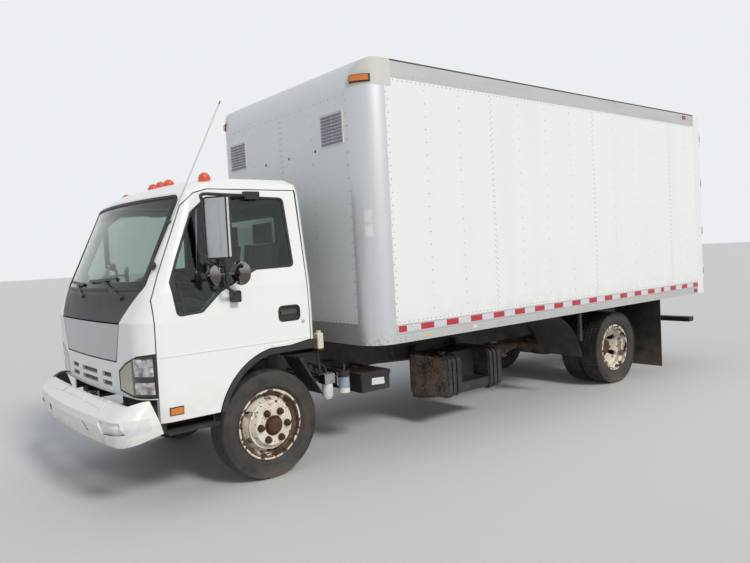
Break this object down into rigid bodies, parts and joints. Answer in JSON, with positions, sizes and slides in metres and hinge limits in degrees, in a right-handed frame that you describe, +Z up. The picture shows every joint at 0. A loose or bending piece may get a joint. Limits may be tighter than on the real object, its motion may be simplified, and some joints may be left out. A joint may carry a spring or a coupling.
{
  "type": "box truck",
  "caption": "Cab-over box truck with a tilting cab, hinged doors and front lid, steered front wheels, twin rear wheels and a van body with rear swing doors.",
  "frame": {"origin": "on the ground, below the middle of the truck's length and width", "axes": "+Z up, +Y towards the rear, +X the left side of the truck, seen by its driver"},
  "size_m": [2.446, 7.5748, 3.2249],
  "materials": {
    "white_paint": "gloss",
    "box_white": "satin",
    "box_aluminium": "satin",
    "silver_paint": "satin",
    "black_plastic": "matte",
    "frame_black": "matte",
    "cast_iron": "rough",
    "glass": "gloss",
    "lamp_glass": "gloss",
    "red_lens": "gloss",
    "rubber": "matte",
    "wheel_white": "worn",
    "seat_fabric": "matte",
    "mirror_steel": "worn",
    "wood_deck": "worn",
    "mud_rubber": "matte",
    "exhaust_steel": "rusty"
  },
  "bodies": {
    "chassis": {"battery_box": "black_plastic", "box_corner_caps": "box_white", "box_corner_posts": "box_aluminium", "box_cross_beams": "frame_black", "box_deck": "wood_deck", "box_front_wall": "box_white", "box_nose": "box_aluminium", "box_rails": "box_aluminium", "box_rear_frame": "box_white", "box_roof": "box_white", "box_side_walls": "box_white", "drive_shaft": "frame_black", "engine": "cast_iron", "exhaust": "exhaust_steel", "front_axle": "cast_iron", "front_bumper": "white_paint", "fuel_tank": "black_plastic", "ladder_frame": "frame_black", "leaf_springs": "frame_black", "mudguards": "mud_rubber", "rear_axle": "cast_iron", "rear_step": "frame_black", "reservoirs": "black_plastic"},
    "cab": {"antenna": "black_plastic", "cab_back_panel": "white_paint", "cab_floor": "frame_black", "cab_front_frame": "white_paint", "cab_glass": "glass", "cab_roof": "white_paint", "cab_steps": "black_plastic", "cowl_panel": "black_plastic", "dashboard": "black_plastic", "grille": "white_paint", "headlamps": "lamp_glass", "roof_lamps": "red_lens", "seats": "seat_fabric", "wheel_arches": "black_plastic", "wipers": "black_plastic"},
    "left_door": {"left_door": "white_paint", "left_door_glass": "glass", "left_mirror": "mirror_steel"},
    "right_door": {"right_door": "white_paint", "right_door_glass": "glass", "right_mirror": "mirror_steel"},
    "front_lid": {"front_lid": "silver_paint"},
    "steering_wheel": {"steering_wheel": "black_plastic"},
    "left_knuckle": {"left_knuckle": "cast_iron"},
    "right_knuckle": {"right_knuckle": "cast_iron"},
    "tie_rod": {"tie_rod": "frame_black"},
    "left_front_wheel": {"left_front_tyre": "rubber", "left_front_wheel": "wheel_white"},
    "right_front_wheel": {"right_front_tyre": "rubber", "right_front_wheel": "wheel_white"},
    "left_rear_wheels": {"left_rear_tyres": "rubber", "left_rear_wheels": "wheel_white"},
    "right_rear_wheels": {"right_rear_tyres": "rubber", "right_rear_wheels": "wheel_white"},
    "left_rear_door": {"left_rear_door": "box_white"},
    "right_rear_door": {"right_rear_door": "box_white"}
  },
  "joints": [
    {"name": "cab_tilt", "type": "hinge", "parent": "chassis", "child": "cab", "pos_m": [0, -3.4375, 0.735], "axis": [1, 0, 0], "range_deg": [0, 45]},
    {"name": "left_door_hinge", "type": "hinge", "parent": "cab", "child": "left_door", "pos_m": [0.985, -3.4215, 1.1], "axis": [0, 0, -1], "range_deg": [0, 70]},
    {"name": "right_door_hinge", "type": "hinge", "parent": "cab", "child": "right_door", "pos_m": [-0.985, -3.4215, 1.1], "axis": [0, 0, 1], "range_deg": [0, 70]},
    {"name": "front_lid_hinge", "type": "hinge", "parent": "cab", "child": "front_lid", "pos_m": [0, -3.5625, 1.285], "axis": [-1, 0, 0], "range_deg": [0, 75]},
    {"name": "steering_wheel_turn", "type": "hinge", "parent": "cab", "child": "steering_wheel", "pos_m": [0.42, -2.9901, 1.4757], "axis": [0, 0.6088, 0.7933], "range_deg": [-684, 684]},
    {"name": "left_steer", "type": "hinge", "parent": "chassis", "child": "left_knuckle", "pos_m": [0.74, -2.5875, 0.405], "axis": [0, 0, 1], "range_deg": [-38, 38]},
    {"name": "right_steer", "type": "hinge", "parent": "chassis", "child": "right_knuckle", "pos_m": [-0.74, -2.5875, 0.405], "axis": [0, 0, 1], "range_deg": [-38, 38]},
    {"name": "tie_rod_pin", "type": "hinge", "parent": "left_knuckle", "child": "tie_rod", "pos_m": [0.74, -2.4175, 0.3], "axis": [0, 0, 1], "range_deg": [-38, 38]},
    {"name": "left_front_spin", "type": "hinge", "parent": "left_knuckle", "child": "left_front_wheel", "pos_m": [0.83, -2.5875, 0.405], "axis": [1, 0, 0], "continuous": true},
    {"name": "right_front_spin", "type": "hinge", "parent": "right_knuckle", "child": "right_front_wheel", "pos_m": [-0.83, -2.5875, 0.405], "axis": [1, 0, 0], "continuous": true},
    {"name": "left_rear_spin", "type": "hinge", "parent": "chassis", "child": "left_rear_wheels", "pos_m": [0.825, 1.8825, 0.405], "axis": [1, 0, 0], "continuous": true},
    {"name": "right_rear_spin", "type": "hinge", "parent": "chassis", "child": "right_rear_wheels", "pos_m": [-0.825, 1.8825, 0.405], "axis": [1, 0, 0], "continuous": true},
    {"name": "left_rear_door_hinge", "type": "hinge", "parent": "chassis", "child": "left_rear_door", "pos_m": [1.211, 3.7435, 2], "axis": [0, 0, -1], "range_deg": [0, 240]},
    {"name": "right_rear_door_hinge", "type": "hinge", "parent": "chassis", "child": "right_rear_door", "pos_m": [-1.211, 3.7435, 2], "axis": [0, 0, 1], "range_deg": [0, 240]}
  ],
  "couplings": [
    {"joint": "right_steer", "follows": "left_steer", "ratio": 1},
    {"joint": "tie_rod_pin", "follows": "left_steer", "ratio": -1},
    {"joint": "steering_wheel_turn", "follows": "left_steer", "ratio": 18}
  ]
}
